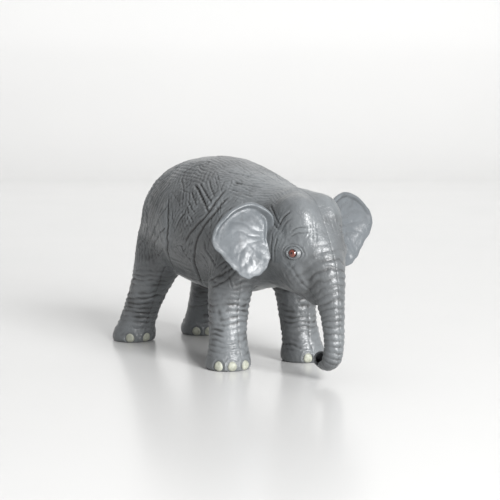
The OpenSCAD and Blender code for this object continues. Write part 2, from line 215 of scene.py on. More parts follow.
# ---- Blender meshes ----
def add_mesh(name, solids, scale=MM):
    """A new object whose mesh holds these (points, faces)."""
    points, faces, start = [], [], 0
    for p, f in solids:
        points.append(p)
        faces += [tuple(start + k for k in face) for face in f]
        start += len(p)
    mesh = bpy.data.meshes.new(name)
    mesh.from_pydata((np.concatenate(points) * scale).tolist(), [], faces)
    mesh.update()
    piece = bpy.data.objects.new(name, mesh)
    bpy.context.scene.collection.objects.link(piece)
    return piece


def apply_modifiers(piece):
    """The piece keeps the mesh that its modifiers make."""
    graph = bpy.context.evaluated_depsgraph_get()
    made = bpy.data.meshes.new_from_object(piece.evaluated_get(graph), depsgraph=graph)
    piece.modifiers.clear()
    piece.data = made


def modify(piece, kind, **settings):
    modifier = piece.modifiers.new(kind.lower(), kind)
    for key, value in settings.items():
        setattr(modifier, key, value)
    apply_modifiers(piece)


def cut(piece, tool, how="DIFFERENCE"):
    modify(piece, "BOOLEAN", solver="MANIFOLD", operation=how, object=tool)


def drop(*pieces):
    for piece in pieces:
        bpy.data.objects.remove(piece)


def points_of(mesh):
    co = np.empty(len(mesh.vertices) * 3)
    mesh.vertices.foreach_get("co", co)
    return co.reshape(-1, 3) / MM


def normals_of(mesh):
    n = np.empty(len(mesh.vertices) * 3)
    mesh.vertex_normals.foreach_get("vector", n)
    return n.reshape(-1, 3)


def set_points(mesh, points):
    mesh.vertices.foreach_set("co", (points * MM).ravel())
    mesh.update()


def edges_of(mesh):
    e = np.empty(len(mesh.edges) * 2, int)
    mesh.edges.foreach_get("vertices", e)
    return e.reshape(-1, 2)


def relax(points, edges, weight, rounds):
    """Each point moves towards the middle of its neighbours, by its weight, this many times."""
    a, b = edges.T
    n = len(points)
    degree = np.maximum(np.bincount(a, minlength=n) + np.bincount(b, minlength=n), 1)
    for _ in range(rounds):
        middle = np.stack([np.bincount(a, points[b, k], n) + np.bincount(b, points[a, k], n)
                           for k in range(3)], axis=1) / degree[:, None]
        points = points + weight[:, None] * (middle - points)
    return points


def set_value(mesh, name, values):
    attribute = mesh.attributes.get(name) or mesh.attributes.new(name, "FLOAT", "POINT")
    attribute.data.foreach_set("value", np.asarray(values, np.float32))


def smooth(piece, sharp):
    """Shades the piece smooth, but for edges sharper than that many degrees."""
    piece.data.shade_smooth()
    piece.data.set_sharp_from_angle(angle=math.radians(sharp))


# ---- the whole form ----
def form(steps, count, t=0.0):
    """Closed solids that together are the animal, their surfaces moved in by t."""
    def part(rows, tilt):
        return loft(inset(sections(through(rows, steps), tilt, count), t))
    middle = [part(BARREL, 0), part(HEAD, 0), part(TRUNK, None), part(JAW, None)]
    right = [part(FRONT_LEG, 90), part(REAR_LEG, 90)]
    left = [ball(centre, np.array(half) - t) for centre, half in BALLS]
    return middle + right + left + [mirrored(s) for s in right + left]


# ---- noise ----
def speckle(points, size, seed):
    """Smooth noise from -1 to 1, with lumps of that size in millimetres."""
    values = np.random.default_rng(seed).uniform(-1, 1, 4096)
    q = points / size
    cell = np.floor(q).astype(np.int64)
    f = q - cell
    f = f * f * (3 - 2 * f)
    total = 0
    for corner in np.ndindex(2, 2, 2):
        at = cell + corner
        key = at[:, 0] * 73856093 ^ at[:, 1] * 19349663 ^ at[:, 2] * 83492791
        share = np.prod(np.where(np.array(corner) == 1, f, 1 - f), axis=1)
        total = total + share * values[key & 4095]
    return total


# ---- drawn creases: [points on the right side, half width, depth] ----
CREASES = [
    # the fold in front of the thigh, and the sags that run back from it
    [[(-28, -38, 104), (-23, -42, 87), (-29, -38, 70), (-37, -31, 59), (-49, -20, 52)], 1.5, 1.1],
    [[(-26, -42, 85), (-38, -40, 79), (-55, -35, 70)], 1.1, 0.7],
    [[(-27, -40, 99), (-38, -40, 89), (-56, -36, 75)], 1.1, 0.7],
    [[(-31, -39, 73), (-45, -37, 66), (-60, -33, 60)], 0.9, 0.45],
    # slanting grooves behind the shoulder
    [[(-23, -31, 116), (-14, -35, 110), (-9, -38, 104)], 0.9, 0.7],
    [[(-6, -31, 114), (7, -34, 107), (18, -36, 99)], 1.1, 1.2],
    [[(-2, -31, 116), (9, -33, 110), (18, -34, 104)], 0.9, 0.9],
    [[(-6, -35, 110), (6, -37, 102)], 0.8, 0.8],
    [[(-5, -37, 104), (6, -39, 97)], 0.8, 0.7],
    [[(-5, -39, 101), (6, -40, 91)], 0.8, 0.7],
    [[(4, -26, 117), (17, -31, 108)], 0.8, 0.8],
    [[(6, -23, 120), (14, -27, 115)], 0.7, 0.7],
    [[(-1, -38, 103), (-12, -42, 88)], 0.9, 0.7],
    [[(-3, -40, 98), (-17, -42, 83)], 0.9, 0.6],
    [[(-18, -38, 110), (-22, -41, 98)], 0.8, 0.5],
    [[(-15, -41, 78), (-5, -41, 82)], 0.7, 0.5],
    [[(-18, -40, 73), (-10, -40, 75), (-7, -39, 71)], 0.7, 0.5],
    # the long folds from the shoulder down to the belly
    [[(23, -26, 113), (18, -36, 98), (8, -40, 88), (-3, -41, 79)], 1.4, 1.1],
    [[(29, -29, 107), (23, -36, 97), (14, -39, 86), (8, -39, 77), (2, -37, 68), (-2, -32, 58),
      (-12, -22, 48)], 1.5, 1.2],
    [[(18, -38, 81), (19, -36, 73), (30, -37, 65)], 1.0, 0.7],
    [[(12, -38, 72), (16, -36, 62), (14, -31, 54)], 0.9, 0.5],
    [[(48, -33, 74), (38, -35, 70), (30, -37, 63)], 1.0, 0.8],
    [[(48, -33, 68), (36, -36, 61), (24, -38, 56)], 1.1, 0.8],
    [[(47, -33, 64), (37, -35, 56), (28, -36, 52)], 0.9, 0.7],
    [[(44, -33, 92), (33, -37, 86), (26, -38, 78)], 1.0, 0.6],
    [[(38, -30, 104), (31, -34, 98), (28, -36, 92)], 0.9, 0.6],
    # lines along the back
    [[(-29, -27, 120), (-23, -21, 125), (-14, -17, 127)], 0.8, 0.5],
    [[(-35, -22, 123), (-25, -17, 127), (-10, -14, 128)], 0.7, 0.4],
    [[(10, -16, 123), (27, -10, 120), (41, -6, 118)], 0.8, 0.45],
    [[(22, -20, 118), (34, -17, 116), (46, -12, 115)], 0.8, 0.5],
    [[(26, -24, 113), (36, -22, 111), (46, -19, 108)], 0.8, 0.5],
    # rump and the backs of the thighs
    [[(-72, -30, 102), (-84, -26, 92), (-92, -22, 80)], 1.0, 0.6],
    [[(-62, -34, 96), (-76, -32, 84), (-88, -27, 70)], 1.0, 0.6],
    [[(-58, -35, 84), (-70, -34, 72), (-84, -30, 58)], 1.0, 0.6],
    [[(-97, -12, 92), (-100, -8, 80), (-99, -7, 66), (-93, -6, 54)], 1.2, 0.9],
    [[(-88, -10, 106), (-95, -10, 98), (-98, -13, 86)], 0.9, 0.5],
    # temple, brow, cheek and the root of the trunk
    [[(64, -19, 105), (71, -20, 101), (78, -21, 95)], 0.9, 0.9],
    [[(85, -18, 103), (81, -20, 99), (78, -21, 95)], 0.9, 0.9],
    [[(60, -20, 101), (68, -21, 97), (77, -21, 92)], 0.8, 0.6],
    [[(86, -18, 99), (82, -20, 95), (79, -21, 91)], 0.7, 0.6],
    [[(87, -18, 91), (90, -16, 93), (94, -12, 94)], 0.7, 0.7],
    [[(87, -19, 88), (91, -15, 90), (95, -11, 91)], 0.7, 0.7],
    [[(73, -24, 88), (72, -24, 80), (69, -25, 70)], 0.9, 0.8],
    [[(77, -23, 87), (76, -23, 80), (73, -22, 71)], 0.8, 0.6],
    [[(84, -21, 73), (89, -19, 69), (93, -17, 63), (95, -13, 57), (96, -10, 50)], 1.3, 0.4],
    [[(80, -21, 68), (84, -20, 63), (87, -17, 58)], 0.9, 0.45],
    [[(94, -10, 97), (96, -11, 92), (96, -13, 87)], 0.6, 0.35],
    [[(95, -8, 98), (97, -9, 92), (98, -10, 86)], 0.6, 0.4],
    [[(96, -5, 97), (98, -7, 92), (99, -8, 86)], 0.6, 0.4],
    [[(70, -16, 60), (78, -13, 54), (84, -8, 49)], 0.9, 0.6]]

# Broad swells and dips: [points on the right side, half width, height]
SWELLS = [
    [[(27, -37, 96), (20, -39, 84), (14, -39, 70)], 6.0, 0.9],
    [[(-33, -40, 96), (-31, -40, 80), (-38, -37, 66)], 7.0, 1.0],
    [[(-12, -42, 96), (-14, -42, 80), (-18, -40, 68)], 9.0, -0.7],
    [[(6, -36, 104), (0, -40, 94), (-8, -42, 84)], 3.0, 0.6],
    [[(36, -34, 92), (38, -34, 80), (34, -35, 66)], 5.0, 0.6],
    [[(60, -22, 104), (70, -20, 108), (80, -17, 108)], 6.0, 0.7],
    [[(72, -23, 97), (78, -22, 92), (84, -20, 90)], 3.5, -0.8],
    [[(90, -17, 86), (94, -13, 88), (97, -10, 84)], 3.0, 0.6],
    [[(60, -23, 80), (64, -24, 72), (66, -22, 66)], 5.0, 0.5]]


def drawn_line(points, surface, jitter=None):
    """The drawn points joined by a smooth curve that lies on the surface."""
    rows = table(points)
    if jitter is not None:
        rows = rows + jitter.uniform(-1.3, 1.3, rows.shape)
    line = through(rows, 6)
    sway = np.stack([speckle(line, 5, seed) for seed in (81, 82, 83)], axis=1)
    return np.array([surface.find_nearest(Vector(p))[0] for p in line + 0.7 * sway])


def distance_to_line(points, line):
    """Each point's distance to a line, and how far along it the nearest place is, from 0 to 1."""
    best = np.full(len(points), 1e9)
    where = np.zeros(len(points))
    count = len(line) - 1
    for i in range(count):
        a, ab = line[i], line[i + 1] - line[i]
        t = np.clip((points - a) @ ab / max(ab @ ab, 1e-9), 0, 1)
        d = np.linalg.norm(points - a - t[:, None] * ab, axis=1)
        near = d < best
        best[near] = d[near]
        where[near] = (i + t[near]) / count
    return best, where


def press_line(height, points, line, width, depth, lip=0.35):
    """Presses a groove with softly raised sides along a line, thinner towards its ends."""
    reach = 3.5 * width
    low, high = line.min(axis=0) - reach, line.max(axis=0) + reach
    near = np.nonzero(np.all((points > low) & (points < high), axis=1))[0]
    if not len(near):
        return
    d, where = distance_to_line(points[near], line)
    taper = np.clip(np.minimum(where, 1 - where) * 6 + 0.15, 0, 1) ** 0.6
    profile = lip * hill(d - 1.9 * width, width) - hill(d, width * 0.8)
    height[near] += depth * taper * profile


def raise_line(height, points, line, width, amount):
    """Raises a soft ridge along a line, or sinks a dip when the amount is negative."""
    reach = 2.6 * width
    low, high = line.min(axis=0) - reach, line.max(axis=0) + reach
    near = np.nonzero(np.all((points > low) & (points < high), axis=1))[0]
    d, where = distance_to_line(points[near], line)
    taper = np.clip(np.minimum(where, 1 - where) * 3 + 0.3, 0, 1)
    height[near] += amount * taper * hill(d, width)


# ---- wrinkles that are worked out ----
def rings_of_wrinkles(phase, sharp):
    """Deep narrow grooves at whole numbers of phase, with round rolls between them: -1 to 0.4."""
    near = np.abs(phase - np.round(phase))
    return 0.4 - 1.4 * np.exp(-(near * sharp) ** 2)


def trunk_wrinkles(points):
    """Rings round the trunk, closer together towards its end."""
    line = through(TRUNK, 10)
    centre, size = line[:, :3], line[:, 3:].mean(axis=1)
    run = np.concatenate([[0], np.cumsum(np.linalg.norm(np.diff(centre, axis=0), axis=1))])
    spacing = np.interp(run, [0, 40, 80, 150], [5.0, 4.3, 3.3, 2.6])
    phase = np.concatenate([[0], np.cumsum(np.diff(run) / spacing[1:])])
    height = np.zeros(len(points))
    near = np.nonzero(points[:, 0] > 80)[0]
    p = points[near]
    apart = np.linalg.norm(p[:, None, :] - centre[None, :, :], axis=2)
    best = apart.argmin(axis=1)
    on = ramp(size[best] * 1.35 + 1.5 - apart.min(axis=1), 0, 1.5)
    # the nearest station is refined along the line, so that the rings stay round
    ahead = np.gradient(centre, axis=0)
    step = np.sum((p - centre[best]) * ahead[best], axis=1) / np.sum(ahead[best] ** 2, axis=1)
    here = phase[best] + np.clip(step, -0.6, 0.6) * np.gradient(phase)[best]
    warp = 0.42 * speckle(p, 9, 11) + 0.18 * speckle(p, 3.5, 12)
    deep = 0.62 + 0.38 * speckle(p, 6, 13)
    fade = ramp(run[best], 22, 42)
    front = ramp(p[:, 0] - centre[best, 0], -14, 2) * 0.35 + 0.65
    amount = np.interp(run[best], [0, 40, 80, 150], [0.55, 0.62, 0.56, 0.4])
    height[near] = amount * on * fade * front * deep * rings_of_wrinkles(here + warp, 4.2)
    return height


def leg_wrinkles(points, rows, top, seed):
    """Level wrinkles round one leg, from the toes up to where the leg joins the body."""
    rows = table(rows)
    z = points[:, 2]
    cx, cy = (np.interp(z, rows[:, 2], rows[:, k]) for k in (0, 1))
    wide = np.interp(z, rows[:, 2], rows[:, 3:].mean(axis=1))
    out = np.hypot(points[:, 0] - cx, points[:, 1] - cy)
    on = ramp(wide + 3.5 - out, 0, 2) * ramp(z, 6.5, 10) * ramp(top - z, 0, 14)
    warp = 0.55 * speckle(points, 11, seed) + 0.2 * speckle(points, 4, seed + 1)
    deep = np.clip(0.55 + 0.6 * speckle(points, 8, seed + 2), 0.08, 1)
    spacing = 3.7
    rolls = rings_of_wrinkles(z / spacing + warp, 3.2)
    turn = np.arctan2(points[:, 1] - cy, points[:, 0] - cx)
    row = np.round(z / spacing + warp)
    split = rings_of_wrinkles(turn * 2.6 + 0.37 * row + 0.5 * speckle(points, 5, seed + 3), 5)
    patch = np.clip(0.2 + 0.8 * speckle(points, 9, seed + 4), 0, 1)
    knobs = 0.3 * speckle(points, 4.2, seed + 6) * ramp(z, 8, 14)
    return on * (0.62 * deep * rolls + 0.28 * patch * split + knobs)


# Hatched wrinkles on the body: [slant, spacing, first x, last x, first and last distance from
# the spine, depth]. At slant 0 the lines run down the flank, at 90 along the body.
HATCHES = [
    [12, 2.9, -105, -40, 8, 95, 0.34],
    [-32, 3.6, -92, -28, 20, 90, 0.24],
    [70, 3.4, -98, -50, 10, 80, 0.16],
    [28, 3.3, -42, 12, 18, 72, 0.28],
    [-38, 2.8, -36, 30, 20, 80, 0.30],
    [84, 2.7, -60, 50, 2, 34, 0.24],
    [-62, 3.8, -30, 50, 45, 110, 0.22],
    [-20, 3.1, 12, 58, 22, 85, 0.26],
    [-55, 3.0, 40, 76, 4, 60, 0.20],
    [80, 4.0, -70, 50, 85, 140, 0.20],
    [62, 2.6, 44, 86, 6, 62, 0.20],
    [-12, 2.7, 58, 92, 22, 80, 0.16],
    [40, 2.4, 56, 96, 60, 110, 0.14]]


def skin_folds(points):
    """Crossed patches of short wrinkles all over the body."""
    x, y, z = points.T
    run = np.arctan2(np.abs(y), z - BODY_Z) * BODY_R
    body = 1.3 * ramp(z, 44, 58) * ramp(96 - x, 0, 10)
    height = np.zeros(len(points))
    for k, (slant, spacing, x0, x1, s0, s1, depth) in enumerate(HATCHES):
        a = math.radians(slant)
        warp = 1.5 * speckle(points, 13, 100 + k) + 0.8 * speckle(points, 5, 120 + k)
        phase = (x * math.cos(a) - run * math.sin(a) + warp) / spacing
        here = ramp(x, x0, x0 + 14) * ramp(x1 - x, 0, 14)
        here = here * ramp(run, s0 - 8, s0 + 6) * ramp(s1 - run, -8, 6)
        patch = 0.42 + 0.85 * speckle(points, 13, 140 + k) + 0.5 * speckle(points, 6, 160 + k)
        patch = np.clip(patch, 0, 1)
        height += depth * here * patch * rings_of_wrinkles(phase, 3.4)
    return body * height


def pebble(points):
    """Fine leathery grain."""
    fine = 0.08 * speckle(points, 2.1, 41) + 0.06 * speckle(points, 1.3, 42)
    return fine + 0.22 * speckle(points, 5, 43)


# ---- eyes, seams and feet ----
EYE_LOOK = unit([0.42, -0.9, 0.1])     # the way that the right eye looks


def eye_centre():
    """The middle of the right eye's bead."""
    low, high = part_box("right_eye")
    return (np.array(low) + np.array(high)) / 2 / MM


def eyelids(points, side):
    """Lids and the folds round one eye; side is -1 for the right eye."""
    q = points * [1, -side, 1] - eye_centre()
    depth = q @ EYE_LOOK
    across = unit(np.cross([0, 0, 1], EYE_LOOK))
    up = np.cross(EYE_LOOK, across)
    a, b = q @ across, q @ up
    near = (np.abs(depth) < 7) & (np.hypot(a, b) < 14)
    r = np.hypot(a / 1.2, b / 0.87) + 0.35 * speckle(points, 3, 71)
    upper = ramp(b, -2, 2)
    # from the bead outwards: lid, groove, fold, groove, fold
    h = (1.35 + 0.3 * upper) * hill(r - 3.25, 0.8)
    h -= 0.5 * hill(r - 4.6, 0.45)
    h += 0.25 * hill(r - 5.4, 0.5)
    h -= (0.2 + 0.25 * upper) * hill(r - 6.3, 0.4)
    h += 0.15 * hill(r - 7.1, 0.6)
    return np.where(near, h, 0)


def seams(points):
    """Fine grooves where the glued pieces meet."""
    x, y, z = points.T
    over = ramp(z - BELLY_SEAM_Z, -0.3, 0.3) + ramp(x - CHEST_X, -0.3, 0.3)
    middle = hill(y, 0.34) * np.clip(over, 0, 1)
    under = ramp(BELLY_SEAM_Z - z, -0.3, 0.3) * ramp(CHEST_X - x, -0.3, 0.3)
    wander = 0.5 * speckle(points, 7, 91)
    legs = 1.7 * hill(np.abs(y) - LEG_SEAM_Y + wander, 0.42) * under
    between = ramp(LEG_SEAM_Y - np.abs(y), -0.3, 0.3) * ramp(CHEST_X - x, -0.3, 0.3)
    belly = hill(z - BELLY_SEAM_Z, 0.42) * between
    return -0.2 * np.maximum(np.maximum(middle, legs), belly)


# Each foot: where its toenails are, in degrees from forward, and which of them are painted
FEET = [["front", -1, FRONT_LEG, {-57: True, -20: True, 20: True}],
        ["front", 1, FRONT_LEG, {-57: False, -20: True, 20: True}],
        ["rear", -1, REAR_LEG, {-38: True, 10: True, 45: False}],
        ["rear", 1, REAR_LEG, {-38: False, 10: True, 45: True}]]
NAIL_HALF_W, NAIL_MID_Z, NAIL_HALF_H = 3.1, 3.5, 3.2


def nail_beds(points):
    """The skin is pressed in round each toenail."""
    height = np.zeros(len(points))
    for _, side, rows, nails in FEET:
        cx, cy, _, _, r = rows[1]
        turn = np.arctan2((points[:, 1] - side * abs(cy)) * -side, points[:, 0] - cx)
        out = np.hypot(points[:, 0] - cx, points[:, 1] - side * abs(cy))
        on = (np.abs(out - r) < 4) & (points[:, 2] < 12)
        for a in nails:
            t = (turn - math.radians(a)) * r
            e = np.hypot(t / NAIL_HALF_W, (points[:, 2] - NAIL_MID_Z) / NAIL_HALF_H)
            height += on * (0.3 * hill(e - 1.5, 0.25) - 0.4 * hill(e - 1.12, 0.18))
    return height


def random_wrinkles(height, points, surface, seed):
    """Short wrinkles scattered over the flanks, lying the way that the skin hangs there."""
    rng = np.random.default_rng(seed)
    wide, tall = 46, 48                # an oval just outside the barrel
    for _ in range(420):
        x = rng.uniform(-90, 50)
        down = rng.uniform(0.25, 2.3)  # how far round from the spine, in radians
        side = rng.choice([-1, 1])
        lean = np.interp(x, [-90, -50, -20, 10, 50], [0.5, -0.9, 0.5, 0.75, -0.5])
        lean = lean + rng.normal(0, 0.45)
        half = rng.uniform(2.5, 7)
        steps = np.linspace(-half, half, 5)
        bend = rng.normal(0, 0.03)
        xs = x + steps * math.sin(lean) + bend * steps ** 2
        turns = down + steps * math.cos(lean) / BODY_R
        start = np.stack([xs, side * wide * np.sin(turns), BODY_Z + tall * np.cos(turns)], axis=1)
        line = np.array([surface.find_nearest(Vector(p))[0] for p in start])
        press_line(height, points, line, rng.uniform(0.4, 0.7), rng.uniform(0.15, 0.4), lip=0.3)


def surface_of(mesh, points):
    """The mesh's faces over these points, to be searched for the nearest place."""
    return BVHTree.FromPolygons([Vector(p) for p in points], [p.vertices[:] for p in mesh.polygons])


def shape_skin():
    """The whole outside of the animal as one closed mesh, with its folds and wrinkles."""
    skin = add_mesh("skin", form(6, 72))
    modify(skin, "REMESH", mode="VOXEL", voxel_size=SKIN_STEP * MM, adaptivity=0.0)
    points = points_of(skin.data)
    x, y, z = points.T
    trunk = ramp(x, 84, 96) * ramp(92 - z, 0, 14)
    foot = ramp(60 - z, 0, 16)
    weight = 0.5 * (1 - 0.93 * np.maximum(trunk, foot * 0.95))
    points = relax(points, edges_of(skin.data), weight, int(30 * (1.5 / SKIN_STEP) ** 2))
    set_points(skin.data, points)
    modify(skin, "SUBSURF", levels=1)
    points = points_of(skin.data)
    points[:, 2] = np.maximum(points[:, 2], 0)
    set_points(skin.data, points)
    surface = surface_of(skin.data, points)

    broad = np.zeros(len(points))
    fine = np.zeros(len(points))
    jitter = np.random.default_rng(7)
    for side in (-1, 1):
        for rows, width, amount in SWELLS:
            line = drawn_line(table(rows) * [1, -side, 1], surface)
            raise_line(broad, points, line, width, amount)
        for rows, width, depth in CREASES:
            wobble = jitter if side > 0 else None
            line = drawn_line(table(rows) * [1, -side, 1], surface, wobble)
            press_line(fine, points, line, width * 0.8, depth * 0.75)
        fine += eyelids(points, side)
    random_wrinkles(fine, points, surface, 19)
    fine += trunk_wrinkles(points) + skin_folds(points) + nail_beds(points) + seams(points)
    for side, seed in ((-1, 50), (1, 60)):
        for rows, top, more in ((FRONT_LEG, 66, 0), (REAR_LEG, 60, 5)):
            leg = table(rows) * [1, -side, 1, 1, 1]
            fine += leg_wrinkles(points, leg, top, seed + more)
    sole = ramp(points[:, 2], 0.0, 1.2)
    fine *= sole
    normals = normals_of(skin.data)
    points = points + normals * (broad + fine + pebble(points) * sole)[:, None]
    points[:, 2] = np.maximum(points[:, 2], 0)
    set_points(skin.data, points)
    return skin, points, fine


def slot_outline():
    """The slot with round ends, as [x, y] points."""
    r, half = SLOT_W / 2, (SLOT_LEN - SLOT_W) / 2
    turn = np.linspace(-np.pi / 2, np.pi / 2, 17)
    right = np.stack([SLOT_X + half + r * np.cos(turn), r * np.sin(turn)], axis=1)
    left = np.stack([SLOT_X - half - r * np.cos(turn), -r * np.sin(turn)], axis=1)
    return np.concatenate([right, left])


def hollow_out(skin):
    """Cuts the coin chamber, the slot, the cup and port for the stopper, and the nostril."""
    cavity = add_mesh("cavity", form(2, 36, WALL))
    modify(cavity, "REMESH", mode="VOXEL", voxel_size=CAVITY_STEP * MM, adaptivity=0.0)
    cup_wall = prism(circle(PORT_X, 0, CUP_R + 2), CUP_WALL_FROM, CUP_TOP + 8)
    keep_out = [add_mesh("soles", [block([-FAR, -100, -50], [FAR, 100, WALL])]),
                add_mesh("trunk_end", [block([TRUNK_SOLID_X, -30, -50], [FAR, 30, TRUNK_SOLID_Z])]),
                add_mesh("cup_wall", [cup_wall])]
    for tool in keep_out:
        cut(cavity, tool)
    openings = [add_mesh("slot_tool", [prism(slot_outline(), SLOT_FLOOR, 180)]),
                add_mesh("cup_tool", [prism(circle(PORT_X, 0, CUP_R), -1, CUP_TOP)]),
                add_mesh("port_tool", [prism(circle(PORT_X, 0, PORT_R), -1, PORT_TOP)]),
                nostril_tool()]
    for tool in [cavity] + openings:
        cut(skin, tool)
    drop(cavity, *keep_out, *openings)


def nostril_tool():
    """A hollow closed at the tip of the trunk, with no right side wall and a ragged top edge."""
    tilt = math.radians(TRUNK_END_TILT)
    c, t = math.cos(tilt), math.sin(tilt)
    turn = np.array([[c, 0, -t], [0, 1, 0], [t, 0, c]])
    solids = []
    for centre, half in NOSTRIL:
        points, faces = ball(centre, half, 12)
        solids.append((points @ turn + TRUNK_END, faces))
    tool = add_mesh("nostril_tool", solids)
    modify(tool, "REMESH", mode="VOXEL", voxel_size=NOSTRIL_STEP * MM, adaptivity=0.0)
    return tool


def copy_of(piece, name):
    """A second object with its own copy of the piece's mesh."""
    twin = bpy.data.objects.new(name, piece.data.copy())
    bpy.context.scene.collection.objects.link(twin)
    return twin


def split_shells(skin, skin_points, fine):
    """Cuts the hollow skin into the two side shells and the underbody."""
    corner = np.array([CHEST_X, LEG_SEAM_Y, BELLY_SEAM_Z])
    under = add_mesh("under_tool", [block([-FAR, -LEG_SEAM_Y, -50], corner)])
    under_less = add_mesh("under_less", [block([-FAR, SEAM_GAP - LEG_SEAM_Y, -50], corner - SEAM_GAP)])
    tree = KDTree(len(skin_points))
    for i, p in enumerate(skin_points):
        tree.insert(p, i)
    tree.balance()
    pieces = {}
    for name, low, high in (("right_shell", -150, -SEAM_GAP / 2), ("left_shell", SEAM_GAP / 2, 150)):
        shell = copy_of(skin, name + "_skin")
        half = add_mesh("half_tool", [block([-FAR, low, -50], [FAR, high, FAR])])
        cut(shell, half, "INTERSECT")
        cut(shell, under)
        drop(half)
        pieces[name] = shell
    shell = copy_of(skin, "underbody_skin")
    cut(shell, under_less, "INTERSECT")
    pieces["underbody"] = shell
    drop(under, under_less, skin)
    for shell in pieces.values():
        found = [tree.find(p) for p in points_of(shell.data)]
        apart = np.array([f[2] for f in found])
        value = fine[np.array([f[1] for f in found])]
        value[apart > 0.9] = 0         # the inside has no relief
        # the relief heights also drive the painted shade in the creases and the painted highlight on the
        # folds
        set_value(shell.data, "relief", value)
        # inside marks the inner faces, which the material paints near-black as painted shade
        set_value(shell.data, "inside", ramp(apart, 1.0, 1.6))
        smooth(shell, 50)
    return pieces


# ---- ears ----
EAR_LINE = [[21, 100], [28.5, 106.3], [37, 108.2], [46.5, 104.6], [53.6, 98.6], [58.4, 91.5],
            [59.2, 84], [53.8, 76.5], [47, 69.6], [42, 64], [35.5, 61.7], [28.5, 64],
            [23.5, 70], [21, 79], [20.5, 90]]
EAR_MID = np.array([38.0, 86.0])
EAR_ROOT = np.array([70.0, -21.0, 88.0])
EAR_THICK, EAR_SWEEP, EAR_DISH = 3.4, 0.19, 4.2
EAR_START, EAR_LEVEL = 21, 85          # where the ear leaves the head, and the root's height


def ear(name, side, cock, lift, seed, crinkle):
    """One ear: a dished blade with a rolled rim, radiating folds and a scalloped lower edge."""
    steps = 14
    rim = through(EAR_LINE, steps, closed=True)
    n = len(rim)
    share = np.concatenate([np.linspace(0.03, 0.8, 22), np.linspace(0.83, 0.985, 11)])
    half_t = np.interp(share, [0, 0.65, 0.86, 0.985], [0.5, 0.48, 0.4, 0.2]) * EAR_THICK
    around = np.arange(n) / n * 2 * np.pi
    wave = 0.35 * np.sin(around * 9 + seed) + 0.25 * np.sin(around * 17 + 2 * seed)
    low_edge = ramp(88 - rim[:, 1], 0, 14)
    outward = unit(rim - EAR_MID)
    rim = rim + outward * (wave * low_edge)[:, None]
    top = ramp(outward[:, 1] - 0.2 * outward[:, 0], -0.35, 0.45)
    front = ramp(-outward[:, 0], 0.35, 0.75) * ramp(outward[:, 1], -0.45, 0.1)
    # over the front face from the middle to the rim, then back over the other face
    rings = []
    face = list(zip(share, half_t))
    back = [(w, -t) for w, t in reversed(face)]
    for w, t in face + [(1.0, 0)] + back:
        p = EAR_MID + w * (rim - EAR_MID)
        out = p[:, 0] - EAR_START
        up = p[:, 1] - EAR_LEVEL
        bowl = -EAR_DISH * (1 - min(w, 1) ** 2) ** 1.3
        spot = np.stack([p[:, 0], p[:, 1], np.zeros(n)], axis=1)
        fan = np.arctan2(up - 3, out + 4)
        reach = np.hypot(up - 3, out + 4)
        folds = np.abs(np.sin(fan * 10.5 + 1.3 * speckle(spot, 10, seed)))
        folds = (0.5 - folds ** 0.7) * ramp(reach, 8, 16) * ramp(40 - reach, 0, 14)
        folds = folds * ramp(0.93 - w, 0, 0.2)
        lumps = 0.35 * speckle(spot, 10, seed + 1) + 0.3 * speckle(spot, 4.5, seed + 3)
        roll = (0.1 + 0.9 * top + 0.7 * front) * hill(w - 0.93, 0.05)
        roll = roll - 0.55 * top * hill(w - 0.83, 0.04) - 2.1 * front * hill(w - 0.78, 0.06)
        small = 0.1 * speckle(spot, 2.2, seed + 2)
        relief = crinkle * folds + roll + small + lumps
        strength = 1 if t > 0 else -0.5 if t < 0 else 0
        x = bowl - EAR_SWEEP * out + t + strength * relief
        rings.append(np.stack([x, -out, up], axis=1))
    points, faces = loft(np.array(rings))
    c, s = math.cos(math.radians(-cock)), math.sin(math.radians(-cock))
    spin = np.array([[1, 0, 0], [0, c, -s], [0, s, c]])
    points = points @ spin.T + [0, 0, lift] + EAR_ROOT
    solid = (points, faces)
    if side > 0:
        solid = mirrored(solid)
    piece = add_mesh(name, [solid])
    set_value(piece.data, "relief", np.zeros(len(points)))
    set_value(piece.data, "inside", np.zeros(len(points)))
    smooth(piece, 70)
    return piece


def tail():
    """The tail hangs down the rump and ends in a tuft of strands."""
    rows = through(TAIL, 16)
    rings = sections(rows, None, 56)
    centre = rows[:, None, :3]
    turn = np.linspace(0, 2 * np.pi, 56, endpoint=False)
    z = rows[:, 2][:, None]
    tuft = ramp(56 - z, 0, 6)
    strands = np.abs(np.sin(turn[None, :] * 4.5 + z * 0.05)) ** 0.7
    wrinkle = rings_of_wrinkles(z / 3.2 + 0.12 * np.sin(turn)[None, :], 4)
    grow = tuft * (strands - 0.7) * 0.75 + (1 - tuft) * 0.14 * wrinkle
    rings = rings + unit(rings - centre) * grow[:, :, None]
    piece = add_mesh("tail_piece", [loft(rings)])
    relief = (grow * np.ones((len(rows), 56))).ravel()
    set_value(piece.data, "relief", relief)
    set_value(piece.data, "inside", np.zeros(relief.size))
    smooth(piece, 70)
    return piece


